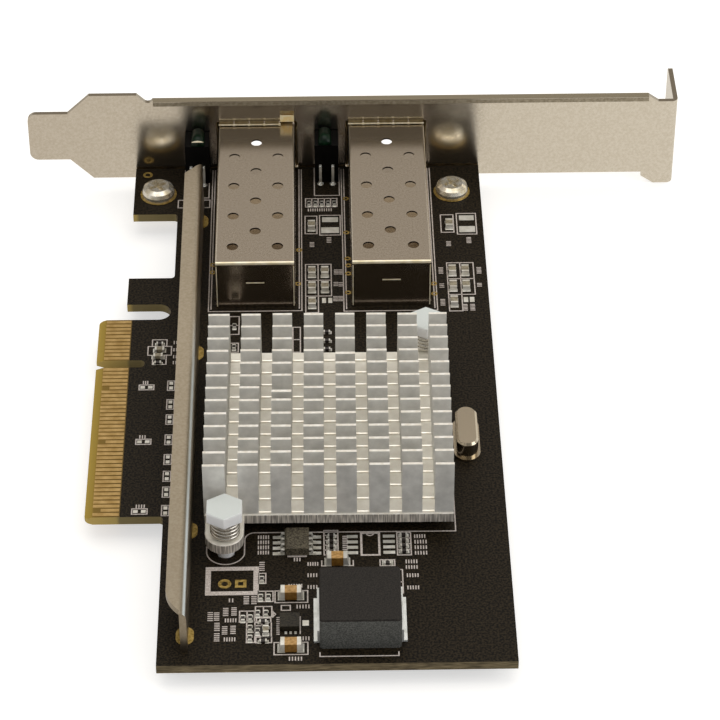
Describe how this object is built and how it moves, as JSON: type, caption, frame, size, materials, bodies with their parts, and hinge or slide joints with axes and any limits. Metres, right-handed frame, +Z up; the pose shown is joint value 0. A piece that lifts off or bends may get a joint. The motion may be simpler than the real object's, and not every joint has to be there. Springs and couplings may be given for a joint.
{
  "type": "network interface card",
  "caption": "Low network expansion card with a gold contact edge, a tall slot bracket, module cages at its ports and a sawn fin heat sink on sprung bolts.",
  "frame": {"origin": "on the outer edge of the contact tongue, at the middle of the key notch, in the plane of the component side", "axes": "+X across the card away from the contact edge, +Y along the card towards the bracket, +Z up from the component side"},
  "size_m": [0.12, 0.1424, 0.021],
  "materials": {
    "black_solder_mask": "black solder mask, satin",
    "gold_plating": "gold plating",
    "bracket_plating": "bright plated sheet steel",
    "screw_plating": "nickel plated",
    "cage_plating": "nickel plated sheet",
    "spring_metal": "bright spring steel",
    "black_plastic": "moulded",
    "chip_resin": "moulded resin",
    "grey_pad": "soft pad",
    "bare_aluminium": "extruded and sawn",
    "white_nylon": "moulded",
    "stiffener_plating": "tinned sheet steel",
    "can_plating": "drawn and plated",
    "pressed_powder": "pressed iron powder",
    "tinned_metal": "tinned",
    "green_lens": "diffused",
    "brown_ceramic": "fired ceramic",
    "tan_ceramic": "fired ceramic",
    "resistor_glaze": "glazed"
  },
  "bodies": {
    "root": {"circuit_board": "black_solder_mask", "component_side_contacts": "gold_plating", "solder_side_contacts": "gold_plating", "bracket": "bracket_plating", "bracket_screws": "screw_plating", "sfp_cage_left": "cage_plating", "sfp_cage_right": "cage_plating", "spring_collar_left": "spring_metal", "spring_collar_right": "spring_metal", "sfp_socket_left": "black_plastic", "sfp_socket_right": "black_plastic", "socket_contacts_left": "gold_plating", "socket_contacts_right": "gold_plating", "controller_chip": "chip_resin", "thermal_pad": "grey_pad", "heat_sink": "bare_aluminium", "heat_sink_bolts": "white_nylon", "heat_sink_springs": "spring_metal", "heat_sink_nuts": "screw_plating", "stiffener_bar": "stiffener_plating", "crystal_can": "can_plating", "inductor_body": "pressed_powder", "inductor_terminals": "tinned_metal", "flash_chip": "chip_resin", "flash_chip_leads": "tinned_metal", "power_chip": "chip_resin", "lamp_housing_left": "black_plastic", "lamp_housing_right": "black_plastic", "lamp_lenses_left": "green_lens", "lamp_lenses_right": "green_lens", "lamp_lead_wires": "tinned_metal", "large_capacitors": "brown_ceramic", "large_capacitor_ends": "tinned_metal", "chip_capacitors": "tan_ceramic", "chip_capacitor_ends": "tinned_metal", "chip_resistors": "resistor_glaze", "chip_resistor_ends": "tinned_metal"}
  },
  "joints": []
}
